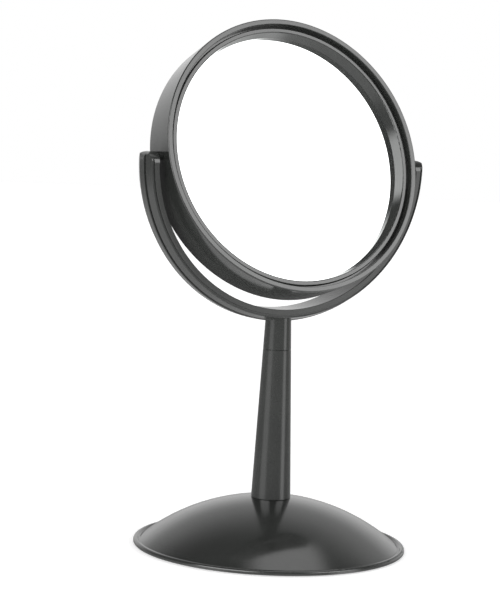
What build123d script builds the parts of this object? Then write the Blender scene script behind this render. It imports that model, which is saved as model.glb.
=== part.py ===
from build123d import *
import math
import os

# Two-sided countertop mirror on a stem, in millimetres.
# Origin: centre of the base, on the surface it stands on. +Z up, -Y to the front, +X to the right
# of somebody looking into the mirror. The mirror head turns about a horizontal axis along X.

# Shared small sizes
EDGE_BREAK = 0.3              # chamfers and roundings on moulded edges
METAL_EDGE = 0.4              # chamfers on turned metal
CLEARANCE = 0.2               # room between pieces that drop into one another
FUSE = 0.5                    # how far two shapes of one piece reach into each other
CUT = 1.0                     # how far a cutting shape stands proud of what it cuts

# Mirror head
PIVOT_HEIGHT = 210.0
HEAD_TILT = 17.4              # degrees that the front of the mirror looks up, as it is stored
HOUSING_FRONT_R = 75.0
HOUSING_REAR_R = 74.4         # mould draft
HOUSING_HALF_DEPTH = 12.0
HOUSING_BORE_R = 72.2
LEDGE_HALF_THICKNESS = 0.5    # ledge in the middle of the bore, between the two glasses
LEDGE_INNER_R = 66.0
GLASS_THICKNESS = 1.8
GLASS_R = 71.6
BEZEL_INNER_R = 68.4
BEZEL_FOOT_INNER_R = 67.4      # where the bezel meets the glass
BEZEL_NOSE_OUTER_R = 70.9
BEZEL_FLANGE_R = 72.15
BEZEL_TOP = 9.0               # above the middle plane of the head
BEZEL_FLANGE_TOP = 7.4
BEZEL_FLANGE_THICKNESS = 1.8
BEZEL_LIP_ROUNDING = 0.5
HOUSING_ROUNDING = 0.6
HOOK_COUNT = 6                # snap hooks under the bezel's flange
HOOK_SIZE = (1.6, 9.0)        # outwards, and along the rim
PIVOT_BOSS_R = 2.2
PIVOT_BOSS_X = 76.3
PIN_R = 1.4
PIN_INNER_X = 72.9
PIN_OUTER_X = 81.0
WASHER_R = 2.1
WASHER_OUTER_X = 77.7

# Yoke
YOKE_CENTRE_DROP = 1.8        # centre of the arc below the pivot axis
YOKE_INNER_R = 78.1
YOKE_FACE_OUTER_R = 82.0
YOKE_SHOULDER_R = 84.2
YOKE_CROWN_R = 84.8
YOKE_HALF_DEPTH = 8.5
YOKE_EDGE_R = 0.4
YOKE_BAND_HALF_WIDTH = 2.5    # the crowned band round the middle
YOKE_GROOVE_WIDTH = 0.9       # grooves beside the flat face and beside the crowned band
YOKE_GROOVE_DEPTH = 0.6
YOKE_RIDGE_DROP = 0.35        # the ridge outside the face's groove stands this far below the face
YOKE_RIDGE_WIDTH = 0.5
YOKE_TIP_RISE = 2.2
YOKE_TIP_SIDE_R = 7.0         # rounding of the tips, seen from the side
YOKE_TIP_OUTER_R = 4.5        # and seen from the front
YOKE_PAD_R = 2.1
YOKE_PAD_X = 77.9
PIN_BORE_R = 1.45
PIN_BORE_END_X = 81.3

# Stem, with the neck that is moulded on the yoke
STEM_TOP_R = 6.9
STEM_TOP_Z = 127.2
NECK_SEAM_Z = 108.0
STEM_FOOT_R = 10.75
STEM_FOOT_Z = 27.0
STEM_WALL = 2.2
SEAM_EDGE = 0.25              # small chamfers that make the seam show
SPIGOT_R = 5.2
SPIGOT_Z = 92.0
INSERT_R = 3.5
INSERT_Z = (93.0, 103.0)
ROD_R = 2.45
ROD_HOLE_R = 2.75
ROD_Z = (7.4, 105.5)

# Base
RIM_R = 73.8
RIM_UNDERSIDE_Z = 0.6
FLANGE_TOP_Z = 2.2
FLANGE_INNER_R = 70.5
LIP_INNER_R = 70.9            # raised lip round the rim
LIP_TOP_Z = 3.0
LIP_ROUNDING = 1.4
DOME_FOOT_R = 69.9
DOME_FOOT_Z = 2.5
DOME_APEX_Z = 27.5            # before the seat is cut flat
DOME_WALL = 2.4
SEAT_R = 10.9
SEAT_Z = 27.0
STEM_LOCATOR_R = 8.2
STEM_LOCATOR_Z = 33.0
CLAMP_BOSS_R = 11.0
CLAMP_FACE_Z = 16.0
CLAMP_WASHER_R = 10.0
CLAMP_WASHER_THICKNESS = 1.2
LOCK_WASHER_R = 4.6
LOCK_WASHER_THICKNESS = 1.4
LOCK_SPLIT = 0.8
LOCK_SPLIT_SLANT = 25.0
NUT_FLATS = 8.0
NUT_THICKNESS = 4.0
BALLAST_R = 52.0
BALLAST_HOLE_R = 12.5
BALLAST_Z = (3.0, 9.2)
RIB_COUNT = 6
RIB_THICKNESS = 1.6
RIB_RADII = (13.0, 46.0)
COVER_R = 66.7
COVER_RECESS_R = 66.8
COVER_TOP_Z = 3.0
COVER_UNDERSIDE_Z = 0.8
PAD_R = 62.0
PAD_TOP_Z = 1.4
SCREW_COUNT = 3
SCREW_CIRCLE_R = 56.0
SCREW_BOSS_R = 3.2
SCREW_THREAD_R = 1.3
SCREW_HEAD_R = 2.8
SCREW_HEAD_DEPTH = 1.3
SCREW_TIP_Z = 8.2
SCREW_SLOT_SIZE = (0.8, 2.6, 1.4)   # each arm of the cross recess
GATE_MARK_R = 28.0            # moulding gate witness on the dome, behind the stem
GATE_MARK_ANGLE = 106.0
GATE_MARK_SIZE = (4.0, 0.8, 1.2)

# Derived values
GLASS_FACE = LEDGE_HALF_THICKNESS + GLASS_THICKNESS
TAPER = (STEM_FOOT_R - STEM_TOP_R) / (STEM_TOP_Z - STEM_FOOT_Z)
DOME_RISE = DOME_APEX_Z - DOME_FOOT_Z
DOME_SPHERE_R = (DOME_FOOT_R**2 + DOME_RISE**2) / (2 * DOME_RISE)
DOME_CENTRE_Z = DOME_APEX_Z - DOME_SPHERE_R
HEAD_PLACE = Pos(0, 0, PIVOT_HEIGHT) * Rot(90 - HEAD_TILT, 0, 0)
YOKE_PLACE = Pos(0, 0, PIVOT_HEIGHT - YOKE_CENTRE_DROP) * Rot(90, 0, 0)


def stem_radius(z):
    """Outer radius of the tapered stem at height z."""
    return STEM_TOP_R + TAPER * (STEM_TOP_Z - z)


def sphere_height(radius, sphere_r):
    """Height of a sphere about the dome's centre at a distance from the Z axis."""
    return DOME_CENTRE_Z + math.sqrt(sphere_r**2 - radius**2)


def turned(corners):
    """Ring turned about Z from (radius, height, corner rounding) triples."""
    points = [(radius, height) for radius, height, rounding in corners]
    roundings = [rounding for radius, height, rounding in corners]
    section = make_face(FilletPolyline(*points, radius=roundings, close=True))
    return revolve(Plane.XZ * section, Axis.Z)


def rod(radius, low, high):
    """Upright cylinder between two heights."""
    return Pos(0, 0, low) * Cylinder(radius, high - low, align=(Align.CENTER, Align.CENTER, Align.MIN))


def tube(outer_r, inner_r, low, high):
    """Upright tube between two heights."""
    return rod(outer_r, low, high) - rod(inner_r, low - 1, high + 1)


def along_x(shape, side):
    """Turn a shape built upwards so that it points out to one side, +1 right or -1 left."""
    return Rot(0, 90 * side, 0) * shape


def make_ring_housing():
    half = HOUSING_HALF_DEPTH
    shell = turned([
        (HOUSING_BORE_R, -half, EDGE_BREAK),
        (HOUSING_REAR_R, -half, HOUSING_ROUNDING),
        (HOUSING_FRONT_R, half, HOUSING_ROUNDING),
        (HOUSING_BORE_R, half, EDGE_BREAK),
    ])
    ledge = tube(HOUSING_BORE_R + FUSE, LEDGE_INNER_R, -LEDGE_HALF_THICKNESS, LEDGE_HALF_THICKNESS)
    housing = shell + ledge
    for side in (-1, 1):
        boss = rod(PIVOT_BOSS_R, HOUSING_BORE_R + FUSE, PIVOT_BOSS_X)
        housing += along_x(boss, side)
        housing -= along_x(rod(PIN_R, PIN_INNER_X, PIVOT_BOSS_X + CUT), side)
    return HEAD_PLACE * housing


def make_front_bezel():
    flange_low = BEZEL_FLANGE_TOP - BEZEL_FLANGE_THICKNESS
    bezel = turned([
        (BEZEL_FOOT_INNER_R, GLASS_FACE, 0),
        (BEZEL_NOSE_OUTER_R, GLASS_FACE, 0),
        (BEZEL_NOSE_OUTER_R, flange_low, 0),
        (BEZEL_FLANGE_R, flange_low, 0),
        (BEZEL_FLANGE_R, BEZEL_FLANGE_TOP, 0),
        (BEZEL_NOSE_OUTER_R, BEZEL_FLANGE_TOP, EDGE_BREAK / 2),
        (BEZEL_NOSE_OUTER_R, BEZEL_TOP, BEZEL_LIP_ROUNDING),
        (BEZEL_INNER_R, BEZEL_TOP, BEZEL_LIP_ROUNDING),
    ])
    hook_height = flange_low - GLASS_FACE - CLEARANCE
    hook = Box(*HOOK_SIZE, hook_height, align=(Align.MIN, Align.CENTER, Align.MAX))
    hook = Pos(BEZEL_NOSE_OUTER_R - FUSE, 0, flange_low) * hook
    for turn in range(HOOK_COUNT):
        bezel += Rot(0, 0, (turn + 0.5) * 360 / HOOK_COUNT) * hook
    return bezel


def make_glass():
    return rod(GLASS_R, LEDGE_HALF_THICKNESS, GLASS_FACE)


def make_foam_spacer():
    return HEAD_PLACE * rod(LEDGE_INNER_R - 2 * CLEARANCE, -LEDGE_HALF_THICKNESS, LEDGE_HALF_THICKNESS)


def make_pivot_pin(side):
    pin = chamfer(rod(PIN_R, PIN_INNER_X, PIN_OUTER_X).edges(), EDGE_BREAK)
    return Pos(0, 0, PIVOT_HEIGHT) * along_x(pin, side)


def make_friction_washer(side):
    washer = tube(WASHER_R, PIN_R, PIVOT_BOSS_X, WASHER_OUTER_X)
    return Pos(0, 0, PIVOT_HEIGHT) * along_x(washer, side)


def yoke_section():
    """Half of the arm's section, from its flat face to the middle of its crown."""
    face = YOKE_HALF_DEPTH
    ridge_y = face - YOKE_RIDGE_DROP
    face_floor = ridge_y - YOKE_GROOVE_DEPTH
    groove_inner_r = YOKE_FACE_OUTER_R - YOKE_GROOVE_WIDTH
    ridge_outer_r = YOKE_FACE_OUTER_R + YOKE_RIDGE_WIDTH
    band = YOKE_BAND_HALF_WIDTH
    shoulder_y = band + YOKE_GROOVE_WIDTH
    band_floor_r = YOKE_SHOULDER_R - YOKE_GROOVE_DEPTH
    return [
        (YOKE_INNER_R, face, YOKE_EDGE_R),
        (groove_inner_r, face, YOKE_EDGE_R),
        (groove_inner_r, face_floor, 0),
        (YOKE_FACE_OUTER_R, face_floor, 0),
        (YOKE_FACE_OUTER_R, ridge_y, YOKE_EDGE_R / 4),
        (ridge_outer_r, ridge_y, YOKE_EDGE_R),
        (YOKE_SHOULDER_R, shoulder_y, YOKE_EDGE_R),
        (band_floor_r, shoulder_y, 0),
        (band_floor_r, band, 0),
        (YOKE_CROWN_R, band, YOKE_EDGE_R),
    ]


def make_yoke_arm():
    """The half-round arm, turned about the pivot axis and cut to rounded tips."""
    front = yoke_section()
    back = [(radius, -height, rounding) for radius, height, rounding in reversed(front)]
    ring = YOKE_PLACE * turned(front + [(YOKE_CROWN_R, 0, 0)] + back)
    spare = 5 * CUT
    tall = YOKE_CROWN_R + YOKE_TIP_RISE + spare
    middle_z = PIVOT_HEIGHT + YOKE_TIP_RISE - tall / 2
    side_outline = Plane.YZ * RectangleRounded(2 * YOKE_HALF_DEPTH, tall, YOKE_TIP_SIDE_R)
    front_outline = Plane.XZ * RectangleRounded(2 * YOKE_CROWN_R, tall, YOKE_TIP_OUTER_R)
    ring &= Pos(0, 0, middle_z) * extrude(side_outline, YOKE_CROWN_R + spare, both=True)
    ring &= Pos(0, 0, middle_z) * extrude(front_outline, YOKE_HALF_DEPTH + spare, both=True)
    return ring


def make_yoke():
    neck = turned([
        (0, NECK_SEAM_Z, 0),
        (stem_radius(NECK_SEAM_Z) - SEAM_EDGE, NECK_SEAM_Z, 0),
        (stem_radius(NECK_SEAM_Z + SEAM_EDGE), NECK_SEAM_Z + SEAM_EDGE, 0),
        (STEM_TOP_R, STEM_TOP_Z, 0),
        (0, STEM_TOP_Z, 0),
    ])
    yoke = make_yoke_arm() + neck + rod(SPIGOT_R, SPIGOT_Z, NECK_SEAM_Z + FUSE)
    for side in (-1, 1):
        pad = along_x(rod(YOKE_PAD_R, YOKE_PAD_X, YOKE_INNER_R + FUSE), side)
        yoke += Pos(0, 0, PIVOT_HEIGHT) * pad
        bore = along_x(rod(PIN_BORE_R, YOKE_PAD_X - CUT, PIN_BORE_END_X), side)
        yoke -= Pos(0, 0, PIVOT_HEIGHT) * bore
    yoke -= rod(INSERT_R, SPIGOT_Z - CUT, INSERT_Z[1])
    yoke -= rod(ROD_HOLE_R, INSERT_Z[1] - CUT, ROD_Z[1] + CUT)
    return yoke


def make_neck_insert():
    low, high = INSERT_Z
    edge = METAL_EDGE
    return turned([
        (ROD_R, low, 0),
        (INSERT_R - edge, low, 0),
        (INSERT_R, low + edge, 0),
        (INSERT_R, high - edge, 0),
        (INSERT_R - edge, high, 0),
        (ROD_R, high, 0),
    ])


def make_stem_tube():
    socket_z = SPIGOT_Z - FUSE
    foot_inner_r = STEM_FOOT_R - STEM_WALL
    return turned([
        (foot_inner_r, STEM_FOOT_Z, 0),
        (STEM_FOOT_R, STEM_FOOT_Z, EDGE_BREAK),
        (stem_radius(NECK_SEAM_Z - SEAM_EDGE), NECK_SEAM_Z - SEAM_EDGE, 0),
        (stem_radius(NECK_SEAM_Z) - SEAM_EDGE, NECK_SEAM_Z, 0),
        (SPIGOT_R, NECK_SEAM_Z, 0),
        (SPIGOT_R, socket_z, 0),
        (stem_radius(socket_z) - STEM_WALL, socket_z - STEM_WALL, 0),
    ])


def make_tie_rod():
    return chamfer(rod(ROD_R, *ROD_Z).edges(), METAL_EDGE)


def make_clamp_washer():
    return tube(CLAMP_WASHER_R, ROD_HOLE_R, CLAMP_FACE_Z - CLAMP_WASHER_THICKNESS, CLAMP_FACE_Z)


def make_lock_washer():
    high = CLAMP_FACE_Z - CLAMP_WASHER_THICKNESS
    washer = tube(LOCK_WASHER_R, ROD_HOLE_R, high - LOCK_WASHER_THICKNESS, high)
    reach = LOCK_WASHER_R + CUT
    split = Box(reach, LOCK_SPLIT, 2 * reach, align=(Align.MIN, Align.CENTER, Align.CENTER))
    split = Rot(LOCK_SPLIT_SLANT, 0, 0) * split
    return washer - Pos(0, 0, high - LOCK_WASHER_THICKNESS / 2) * split


def make_tie_rod_nut():
    high = CLAMP_FACE_Z - CLAMP_WASHER_THICKNESS - LOCK_WASHER_THICKNESS
    hexagon = RegularPolygon(NUT_FLATS / 2, 6, major_radius=False)
    nut = Pos(0, 0, high - NUT_THICKNESS) * extrude(hexagon, NUT_THICKNESS)
    corner_r = NUT_FLATS / math.sqrt(3)
    rounding = turned([
        (0, high - NUT_THICKNESS, 0),
        (corner_r - METAL_EDGE, high - NUT_THICKNESS, 0),
        (corner_r, high - NUT_THICKNESS + METAL_EDGE, 0),
        (corner_r, high - METAL_EDGE, 0),
        (corner_r - METAL_EDGE, high, 0),
        (0, high, 0),
    ])
    return (nut & rounding) - rod(ROD_R, high - NUT_THICKNESS - CUT, high + CUT)


def make_dome_shell():
    """Domed shell with its flange, its cover recess and its seat for the stem."""
    inner_sphere_r = DOME_SPHERE_R - DOME_WALL
    inner_foot_r = math.sqrt(inner_sphere_r**2 - (COVER_TOP_Z - DOME_CENTRE_Z)**2)
    middle_r = DOME_FOOT_R / 2
    inner_middle_r = inner_foot_r / 2
    apex = (0, DOME_APEX_Z)
    foot = (DOME_FOOT_R, DOME_FOOT_Z)
    inner_foot = (inner_foot_r, COVER_TOP_Z)
    inner_apex = (0, DOME_APEX_Z - DOME_WALL)
    outline = ThreePointArc(apex, (middle_r, sphere_height(middle_r, DOME_SPHERE_R)), foot)
    outline += TangentArc(foot, (FLANGE_INNER_R, FLANGE_TOP_Z), tangent=outline % 1)
    lip_r = RIM_R - LIP_ROUNDING
    lip_z = LIP_TOP_Z - LIP_ROUNDING
    corner = LIP_ROUNDING * math.sqrt(0.5)
    outline += Polyline(
        (FLANGE_INNER_R, FLANGE_TOP_Z),
        (LIP_INNER_R, FLANGE_TOP_Z),
        (LIP_INNER_R + LIP_TOP_Z - FLANGE_TOP_Z, LIP_TOP_Z),
        (lip_r, LIP_TOP_Z),
    )
    outline += ThreePointArc((lip_r, LIP_TOP_Z), (lip_r + corner, lip_z + corner), (RIM_R, lip_z))
    outline += Polyline(
        (RIM_R, lip_z),
        (RIM_R, RIM_UNDERSIDE_Z + EDGE_BREAK),
        (RIM_R - EDGE_BREAK, RIM_UNDERSIDE_Z),
        (COVER_RECESS_R, RIM_UNDERSIDE_Z),
        (COVER_RECESS_R, COVER_TOP_Z),
        inner_foot,
    )
    inner_middle = (inner_middle_r, sphere_height(inner_middle_r, inner_sphere_r))
    outline += ThreePointArc(inner_foot, inner_middle, inner_apex)
    outline += Line(inner_apex, apex)
    return revolve(Plane.XZ * make_face(outline), Axis.Z)


def screw_places():
    """Places of the cover screws, round the base."""
    angles = [90 + turn * 360 / SCREW_COUNT for turn in range(SCREW_COUNT)]
    return [Rot(0, 0, angle) * Pos(SCREW_CIRCLE_R, 0, 0) for angle in angles]


def make_base_dome():
    cavity = Pos(0, 0, DOME_CENTRE_Z) * Sphere(DOME_SPHERE_R - DOME_WALL / 2)
    inside = rod(CLAMP_BOSS_R, CLAMP_FACE_Z, DOME_APEX_Z)
    for turn in range(RIB_COUNT):
        rib_size = (RIB_RADII[1] - RIB_RADII[0], RIB_THICKNESS, DOME_APEX_Z - BALLAST_Z[1])
        rib = Box(*rib_size, align=(Align.MIN, Align.CENTER, Align.MIN))
        inside += Rot(0, 0, turn * 360 / RIB_COUNT) * Pos(RIB_RADII[0], 0, BALLAST_Z[1]) * rib
    for place in screw_places():
        inside += place * rod(SCREW_BOSS_R, COVER_TOP_Z, DOME_APEX_Z)
    dome = make_dome_shell() + (inside & cavity)
    dome -= rod(SEAT_R, SEAT_Z, DOME_APEX_Z + CUT)
    dome += rod(STEM_LOCATOR_R, SEAT_Z - FUSE, STEM_LOCATOR_Z)
    dome -= rod(ROD_HOLE_R, CLAMP_FACE_Z - CUT, STEM_LOCATOR_Z + CUT)
    for place in screw_places():
        dome -= place * rod(SCREW_THREAD_R, COVER_TOP_Z - CUT, SCREW_TIP_Z + CLEARANCE)
    mark_z = sphere_height(GATE_MARK_R, DOME_SPHERE_R)
    mark = Rot(0, 0, GATE_MARK_ANGLE - 90) * Pos(0, GATE_MARK_R, mark_z) * Box(*GATE_MARK_SIZE)
    return dome - mark


def make_ballast_disc():
    return turned([
        (BALLAST_HOLE_R, BALLAST_Z[0], METAL_EDGE),
        (BALLAST_R, BALLAST_Z[0], METAL_EDGE),
        (BALLAST_R, BALLAST_Z[1], 2 * METAL_EDGE),
        (BALLAST_HOLE_R, BALLAST_Z[1], METAL_EDGE),
    ])


def make_bottom_cover():
    cover = turned([
        (0, PAD_TOP_Z, 0),
        (PAD_R + CLEARANCE / 2, PAD_TOP_Z, 0),
        (PAD_R + CLEARANCE / 2, COVER_UNDERSIDE_Z, EDGE_BREAK),
        (COVER_R, COVER_UNDERSIDE_Z, EDGE_BREAK),
        (COVER_R, COVER_TOP_Z, 0),
        (0, COVER_TOP_Z, 0),
    ])
    for place in screw_places():
        cover -= place * make_screw_shape(CLEARANCE / 2)
    return cover


def make_screw_shape(room):
    """Countersunk screw pointing up, grown by some room to cut its hole."""
    neck_z = PAD_TOP_Z + SCREW_HEAD_DEPTH
    return turned([
        (0, PAD_TOP_Z, 0),
        (SCREW_HEAD_R + room, PAD_TOP_Z, 0),
        (SCREW_THREAD_R + room, neck_z, 0),
        (SCREW_THREAD_R + room, SCREW_TIP_Z - 1, 0),
        (0, SCREW_TIP_Z, 0),
    ])


def make_cover_screws():
    slot = Box(*SCREW_SLOT_SIZE)
    recess = Pos(0, 0, PAD_TOP_Z) * (slot + Rot(0, 0, 90) * slot)
    screw = make_screw_shape(0) - recess
    return Compound([place * screw for place in screw_places()])


def make_non_slip_pad():
    return chamfer(rod(PAD_R, 0, PAD_TOP_Z).edges().sort_by(Axis.Z)[:1], EDGE_BREAK)


def build():
    """Every piece by the name of its node."""
    front_bezel = make_front_bezel()
    glass = make_glass()
    turned_over = Rot(180, 0, 0)
    return {
        "ring_housing": make_ring_housing(),
        "front_bezel": HEAD_PLACE * front_bezel,
        "rear_bezel": HEAD_PLACE * turned_over * front_bezel,
        "front_mirror_glass": HEAD_PLACE * glass,
        "rear_mirror_glass": HEAD_PLACE * turned_over * glass,
        "foam_spacer": make_foam_spacer(),
        "pivot_pin_left": make_pivot_pin(-1),
        "pivot_pin_right": make_pivot_pin(1),
        "friction_washer_left": make_friction_washer(-1),
        "friction_washer_right": make_friction_washer(1),
        "yoke": make_yoke(),
        "neck_insert": make_neck_insert(),
        "stem_tube": make_stem_tube(),
        "tie_rod": make_tie_rod(),
        "clamp_washer": make_clamp_washer(),
        "lock_washer": make_lock_washer(),
        "tie_rod_nut": make_tie_rod_nut(),
        "base_dome": make_base_dome(),
        "ballast_disc": make_ballast_disc(),
        "bottom_cover": make_bottom_cover(),
        "cover_screws": make_cover_screws(),
        "non_slip_pad": make_non_slip_pad(),
    }


os.makedirs("parts", exist_ok=True)
for node, shape in build().items():
    export_step(shape, f"parts/{node}.step")
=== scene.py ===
"""Looks, light and camera for the countertop mirror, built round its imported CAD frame."""

import bpy
import math
from mathutils import Matrix, Vector

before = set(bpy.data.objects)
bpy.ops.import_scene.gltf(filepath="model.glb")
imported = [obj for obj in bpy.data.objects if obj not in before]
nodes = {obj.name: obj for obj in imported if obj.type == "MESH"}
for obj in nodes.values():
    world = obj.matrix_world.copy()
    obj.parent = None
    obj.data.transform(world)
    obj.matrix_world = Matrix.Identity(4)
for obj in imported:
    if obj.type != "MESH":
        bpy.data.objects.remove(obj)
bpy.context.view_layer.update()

# Camera: place in metres, angles in radians, lens in millimetres on a 36 mm long side
CAMERA_PLACE = Vector((-0.50262, -0.89941, 0.22468))
CAMERA_YAW = 0.49432
CAMERA_PITCH = -0.08788
CAMERA_ROLL = 0.04233
CAMERA_LENS = 115.06
CAMERA_SENSOR = 36.0

# Black plastic: colour, gloss, and what gives its surface away close up. Lengths in metres.
BLACK = (0.033, 0.035, 0.033)
LACQUER_IOR = 1.9               # a bright lacquer-like gloss, stronger than bare plastic
GLOSS = {
    "ring_housing": 0.13,
    "front_bezel": 0.12,
    "rear_bezel": 0.12,
    "yoke": 0.14,
    "stem_tube": 0.17,
    "base_dome": 0.14,
}
EDGE_REACH = 0.0004             # how far from an edge the painted edge highlight reaches, and on glossy plastic the rougher edge too
EDGE_HIGHLIGHT_SHARE = 2.0                # the painted highlight makes an edge this much lighter
ORANGE_PEEL = 0.000004
GRAIN = 0.0000008
SPARK_DEPTH = 0.00003           # depth of the cover's spark-eroded texture
BUBBLE_DEPTH = 0.0001
EDGE_SAMPLES = 4
FULL_EDGE, NO_EDGE = 0.93, 0.998  # cosine between rounded and true normal, on an edge and on a flat face

# Metals: bright colour, duller colour in its patches, and noise cells per metre along each axis
ZINC = (0.62, 0.63, 0.66)
ZINC_DULL = (0.5, 0.51, 0.53)
SPRING_STEEL = (0.3, 0.3, 0.32)
SPRING_STEEL_DULL = (0.2, 0.19, 0.18)
BRASS = (0.78, 0.58, 0.26)
BRASS_DULL = (0.6, 0.44, 0.2)
IRON = (0.16, 0.155, 0.15)
IRON_DULL = (0.1, 0.085, 0.075)
MARKS_ACROSS = (4000, 200, 200)
MARKS_UPRIGHT = (200, 200, 4000)
MARKS_EVEN = (900, 900, 900)
MARKS_CAST = (700, 700, 700)

PAD_RUBBER = (0.03, 0.03, 0.03)
WASHER_RUBBER = (0.02, 0.02, 0.02)
GLASS_HAZY = (0.90, 0.92, 0.91)
GLASS_CLEAR = (0.94, 0.95, 0.945)
FOAM_LOW = (0.68, 0.68, 0.65)
FOAM_HIGH = (0.8, 0.8, 0.78)

# Studio: every softbox is (azimuth, elevation, half width, half height, softness, strength), in degrees.
# Azimuth 0 is along +Y, behind the mirror, and 90 is along +X.
SOFTBOXES = {
    "key": (148, 32, 20, 13, 8, 2.2),
    "left": (246, 28, 24, 20, 10, 2.6),
    "top": (98, 80, 16, 16, 11, 1.0),
    "front_card": (140, 0, 12, 24, 12, 0.8),
    "left_card": (262, -6, 18, 12, 14, 0.45),
    "backdrop_low": (35, 12, 65, 12, 20, 0.35),
    "backdrop_high": (40, 26, 52, 27, 40, 0.5),
}
TABLE_GLOW = 0.65               # light that comes up from the pale table
HORIZON_GLOW = 0.25
ROOM_GLOW = 0.1
FLOOR_GLOW = 0.55               # keeps the table white under the mirror
FLOOR_R = 6.0
FLOOR_HOLE_R = 0.066            # open under the base, so that the pad can be looked at from below
FLOOR_SIDES = 96
FLOOR_COLOUR = (0.9, 0.9, 0.9, 1)
FLOOR_ROUGHNESS = 0.9
WHITE = (1, 1, 1, 1)
TABLE_FADE = (-0.35, -0.1)      # heights of a ray between which the table's glow fades out
ROOM_FADE = (0, 0.3)


def make_camera():
    forward = Vector((
        math.sin(CAMERA_YAW) * math.cos(CAMERA_PITCH),
        math.cos(CAMERA_YAW) * math.cos(CAMERA_PITCH),
        math.sin(CAMERA_PITCH),
    ))
    level_right = Vector((math.cos(CAMERA_YAW), -math.sin(CAMERA_YAW), 0))
    level_up = level_right.cross(forward)
    right = math.cos(CAMERA_ROLL) * level_right + math.sin(CAMERA_ROLL) * level_up
    up = right.cross(forward)
    data = bpy.data.cameras.new("camera")
    data.lens = CAMERA_LENS
    data.sensor_width = CAMERA_SENSOR
    data.clip_start = 0.01
    data.clip_end = 20
    camera = bpy.data.objects.new("camera", data)
    turn = Matrix((right, up, -forward)).transposed()
    camera.matrix_world = Matrix.Translation(CAMERA_PLACE) @ turn.to_4x4()
    bpy.context.scene.collection.objects.link(camera)
    bpy.context.scene.camera = camera


class Nodes:
    """Short ways to add and join the nodes of one material or world."""

    def __init__(self, tree):
        self.tree = tree

    def set(self, socket, value):
        if isinstance(value, bpy.types.NodeSocket):
            self.tree.links.new(value, socket)
        else:
            socket.default_value = value

    def add(self, kind, inputs=None, **settings):
        node = self.tree.nodes.new(kind)
        for name, value in settings.items():
            setattr(node, name, value)
        for name, value in (inputs or {}).items():
            self.set(node.inputs[name], value)
        return node

    def place(self):
        return self.add("ShaderNodeTexCoord").outputs["Object"]

    def noise(self, where, scale, detail=3.0, roughness=0.55):
        values = {"Vector": where, "Scale": scale, "Detail": detail, "Roughness": roughness}
        return self.add("ShaderNodeTexNoise", values).outputs["Fac"]

    def cells(self, where, scale):
        return self.add("ShaderNodeTexVoronoi", {"Vector": where, "Scale": scale}).outputs["Distance"]

    def spread(self, value, low, high, from_low=0.3, from_high=0.7):
        """Take a value from one range to another, with soft ends."""
        values = {
            "Value": value,
            "From Min": from_low,
            "From Max": from_high,
            "To Min": low,
            "To Max": high,
        }
        return self.add("ShaderNodeMapRange", values, interpolation_type="SMOOTHSTEP").outputs["Result"]

    def maths(self, operation, first, second=0.0):
        node = self.add("ShaderNodeMath", {0: first, 1: second}, operation=operation)
        return node.outputs["Value"]

    def dot(self, first, second):
        node = self.add("ShaderNodeVectorMath", {0: first, 1: second}, operation="DOT_PRODUCT")
        return node.outputs["Value"]

    def stretched(self, where, scale):
        return self.add("ShaderNodeVectorMath", {0: where, 1: scale}, operation="MULTIPLY").outputs["Vector"]

    def blend(self, share, first, second):
        """Colour between two colours."""
        node = self.add("ShaderNodeMix", data_type="RGBA")
        self.tree.links.new(share, node.inputs["Factor"])
        for name, value in (("A", first), ("B", second)):
            socket = [s for s in node.inputs if s.name == name and s.type == "RGBA"][0]
            self.set(socket, value if isinstance(value, bpy.types.NodeSocket) else (*value, 1))
        return [s for s in node.outputs if s.type == "RGBA"][0]

    def bump(self, height, distance, below=None):
        values = {"Height": height, "Distance": distance, "Strength": 1.0}
        if below is not None:
            values["Normal"] = below
        return self.add("ShaderNodeBump", values).outputs["Normal"]

    def edge_mask(self, reach):
        """1 on a convex or concave edge and 0 on a flat face."""
        rounded = self.add("ShaderNodeBevel", {"Radius": reach}, samples=EDGE_SAMPLES).outputs["Normal"]
        normal = self.add("ShaderNodeNewGeometry").outputs["Normal"]
        return self.spread(self.dot(rounded, normal), 1.0, 0.0, FULL_EDGE, NO_EDGE)


def new_material(name, **values):
    """Material with a Principled shader, whose plain values are set by socket name with _ for a space."""
    material = bpy.data.materials.new(name)
    material.use_nodes = True
    shader = material.node_tree.nodes["Principled BSDF"]
    n = Nodes(material.node_tree)
    for socket, value in values.items():
        n.set(shader.inputs[socket.replace("_", " ")], value)
    return material, shader, n


def scaled(colour, share):
    return tuple(channel * share for channel in colour)


def moulded_plastic(name, roughness):
    """Glossy moulded black: uneven tone, orange peel, fine grain, edges painted lighter as a painted
    highlight and made rougher, hazy patches.
    """
    material, shader, n = new_material(name, IOR=LACQUER_IOR)
    place = n.place()
    tone = n.blend(n.spread(n.noise(place, 45, 4), 0, 1), scaled(BLACK, 0.9), scaled(BLACK, 1.1))
    dust = n.spread(n.noise(place, 1500, 2), 0, 1, 0.62, 0.8)
    tone = n.blend(dust, tone, scaled(BLACK, 1.6))
    # Painted highlight: rounded edges are painted lighter in random patches, as if they caught the light.
    # The same mask also makes those edges rougher.
    edge_highlight_and_wear = n.maths("MULTIPLY", n.edge_mask(EDGE_REACH), n.spread(n.noise(place, 300, 3), 0.1, 0.5))
    tone = n.blend(edge_highlight_and_wear, tone, scaled(BLACK, EDGE_HIGHLIGHT_SHARE))
    n.set(shader.inputs["Base Color"], tone)
    handling = n.spread(n.noise(place, 60, 6, 0.65), roughness - 0.02, roughness + 0.04)
    n.set(shader.inputs["Roughness"], n.maths("ADD", handling, n.maths("MULTIPLY", edge_highlight_and_wear, 0.2)))
    surface = n.bump(n.noise(place, 160, 1), ORANGE_PEEL)
    n.set(shader.inputs["Normal"], n.bump(n.noise(place, 2600, 2), GRAIN, surface))
    return material


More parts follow.
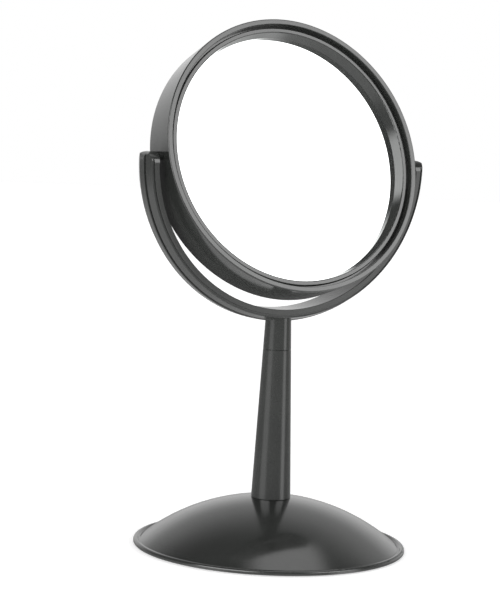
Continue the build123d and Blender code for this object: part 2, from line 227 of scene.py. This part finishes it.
def matt_plastic():
    """Spark-eroded matt texture of the underside cover."""
    material, shader, n = new_material("matt_plastic", IOR=1.5)
    place = n.place()
    spark = n.cells(place, 2200)
    tone = n.blend(n.spread(n.noise(place, 60, 4), 0, 1), scaled(BLACK, 0.9), scaled(BLACK, 1.15))
    # Painted highlight: the cover's edges are painted lighter, as if rounded edges caught the light.
    n.set(shader.inputs["Base Color"], n.blend(n.edge_mask(EDGE_REACH), tone, scaled(BLACK, EDGE_HIGHLIGHT_SHARE)))
    n.set(shader.inputs["Roughness"], n.spread(spark, 0.48, 0.6, 0.1, 0.7))
    n.set(shader.inputs["Normal"], n.bump(spark, SPARK_DEPTH))
    return material


def rubber(name, colour, texture_scale, depth):
    """Matt rubber with a fine pebbled face and dusty low spots."""
    material, shader, n = new_material(name, IOR=1.5)
    place = n.place()
    pebbles = n.cells(place, texture_scale)
    dust = n.spread(n.noise(place, 90, 5, 0.65), 0, 0.5)
    n.set(shader.inputs["Base Color"], n.blend(dust, colour, scaled(colour, 2.0)))
    n.set(shader.inputs["Roughness"], n.spread(pebbles, 0.65, 0.85, 0.1, 0.7))
    n.set(shader.inputs["Normal"], n.bump(pebbles, depth))
    return material


def mirror_glass():
    """Silvering behind clean glass, with the faintest uneven haze."""
    material, shader, n = new_material("mirror_glass", Metallic=1.0)
    haze = n.noise(n.place(), 28, 5, 0.7)
    n.set(shader.inputs["Base Color"], n.blend(n.spread(haze, 0, 1), GLASS_HAZY, GLASS_CLEAR))
    n.set(shader.inputs["Roughness"], n.spread(haze, 0.0, 0.02, 0.5, 0.8))
    return material


def metal(name, colour, dull, roughness, stretch, depth):
    """Metal with machining marks: noise squeezed along the given axes, and a duller bloom in patches."""
    material, shader, n = new_material(name, Metallic=1.0)
    place = n.place()
    marks = n.noise(n.stretched(place, stretch), 1.0, 2)
    bloom = n.spread(n.noise(place, 250, 5, 0.6), 0, 1)
    n.set(shader.inputs["Base Color"], n.blend(bloom, colour, dull))
    n.set(shader.inputs["Roughness"], n.spread(bloom, roughness, roughness + 0.15))
    n.set(shader.inputs["Normal"], n.bump(marks, depth))
    return material


def foam():
    """White closed-cell foam sheet."""
    material, shader, n = new_material("foam", Subsurface_Weight=0.1)
    place = n.place()
    bubbles = n.cells(place, 1600)
    n.set(shader.inputs["Base Color"], n.blend(n.spread(bubbles, 0, 1, 0.1, 0.7), FOAM_LOW, FOAM_HIGH))
    n.set(shader.inputs["Roughness"], n.spread(n.noise(place, 80), 0.85, 0.95))
    n.set(shader.inputs["Normal"], n.bump(bubbles, BUBBLE_DEPTH))
    return material


def paint(material, *names):
    for name in names:
        slots = nodes[name].data.materials
        slots.clear()
        slots.append(material)


def paint_all():
    for name, roughness in GLOSS.items():
        paint(moulded_plastic(name + "_plastic", roughness), name)
    paint(matt_plastic(), "bottom_cover")
    paint(rubber("pad_rubber", PAD_RUBBER, 1300, 0.00006), "non_slip_pad")
    washers = ("friction_washer_left", "friction_washer_right")
    paint(rubber("washer_rubber", WASHER_RUBBER, 2500, 0.00002), *washers)
    paint(mirror_glass(), "front_mirror_glass", "rear_mirror_glass")
    paint(foam(), "foam_spacer")
    pins = ("pivot_pin_left", "pivot_pin_right")
    paint(metal("zinc_turned", ZINC, ZINC_DULL, 0.25, MARKS_ACROSS, 0.00001), *pins)
    paint(metal("zinc_threaded", ZINC, ZINC_DULL, 0.3, MARKS_UPRIGHT, 0.00003), "tie_rod", "cover_screws")
    paint(metal("zinc_pressed", ZINC, ZINC_DULL, 0.3, MARKS_EVEN, 0.00001), "clamp_washer", "tie_rod_nut")
    paint(metal("spring_steel", SPRING_STEEL, SPRING_STEEL_DULL, 0.3, MARKS_EVEN, 0.00001), "lock_washer")
    paint(metal("brass", BRASS, BRASS_DULL, 0.25, MARKS_UPRIGHT, 0.00001), "neck_insert")
    paint(metal("cast_iron", IRON, IRON_DULL, 0.5, MARKS_CAST, 0.0002), "ballast_disc")


def make_stage():
    mesh = bpy.data.meshes.new("floor")
    corners = []
    for radius in (FLOOR_HOLE_R, FLOOR_R):
        for side in range(FLOOR_SIDES):
            turn = 2 * math.pi * side / FLOOR_SIDES
            corners.append((radius * math.cos(turn), radius * math.sin(turn), 0))
    faces = []
    for side in range(FLOOR_SIDES):
        after = (side + 1) % FLOOR_SIDES
        faces.append((side, FLOOR_SIDES + side, FLOOR_SIDES + after, after))
    mesh.from_pydata(corners, [], faces)
    floor = bpy.data.objects.new("floor", mesh)
    bpy.context.scene.collection.objects.link(floor)
    material = new_material(
        "floor",
        Base_Color=FLOOR_COLOUR,
        Roughness=FLOOR_ROUGHNESS,
        Emission_Color=WHITE,
        Emission_Strength=FLOOR_GLOW,
    )[0]
    mesh.materials.append(material)
    floor.visible_glossy = False


def softbox(n, ray, azimuth, elevation, half_width, half_height, softness, strength):
    """Strength of one rectangular soft light in the direction of a ray."""
    turn, lift = math.radians(azimuth), math.radians(elevation)
    forward = Vector((math.sin(turn) * math.cos(lift), math.cos(turn) * math.cos(lift), math.sin(lift)))
    right = Vector((math.cos(turn), -math.sin(turn), 0))
    up = right.cross(forward)
    soft = math.radians(softness) / 2
    ahead = n.dot(ray, forward)
    light = strength
    for axis, half in ((right, half_width), (up, half_height)):
        edge = math.radians(half)
        angle = n.maths("ARCTAN2", n.maths("ABSOLUTE", n.dot(ray, axis)), ahead)
        light = n.maths("MULTIPLY", n.spread(angle, 1, 0, edge - soft, edge + soft), light)
    return light


def make_world():
    """Plain white to camera rays; softboxes over a pale table to every other ray."""
    world = bpy.data.worlds.new("studio")
    bpy.context.scene.world = world
    world.use_nodes = True
    n = Nodes(world.node_tree)
    background = world.node_tree.nodes["Background"]
    ray = n.add("ShaderNodeTexCoord").outputs["Generated"]
    height = n.add("ShaderNodeSeparateXYZ", {0: ray}).outputs["Z"]
    table = n.spread(height, TABLE_GLOW - HORIZON_GLOW, 0, *TABLE_FADE)
    room = n.spread(height, HORIZON_GLOW, ROOM_GLOW, *ROOM_FADE)
    total = n.maths("ADD", table, room)
    for settings in SOFTBOXES.values():
        total = n.maths("ADD", total, softbox(n, ray, *settings))
    seen = n.add("ShaderNodeLightPath").outputs["Is Camera Ray"]
    hidden = n.maths("MULTIPLY", total, n.maths("SUBTRACT", 1.0, seen))
    n.set(background.inputs["Strength"], n.maths("ADD", hidden, seen))
    background.inputs["Color"].default_value = WHITE


make_camera()
make_stage()
make_world()
paint_all()
bpy.context.scene.view_settings.view_transform = "Standard"
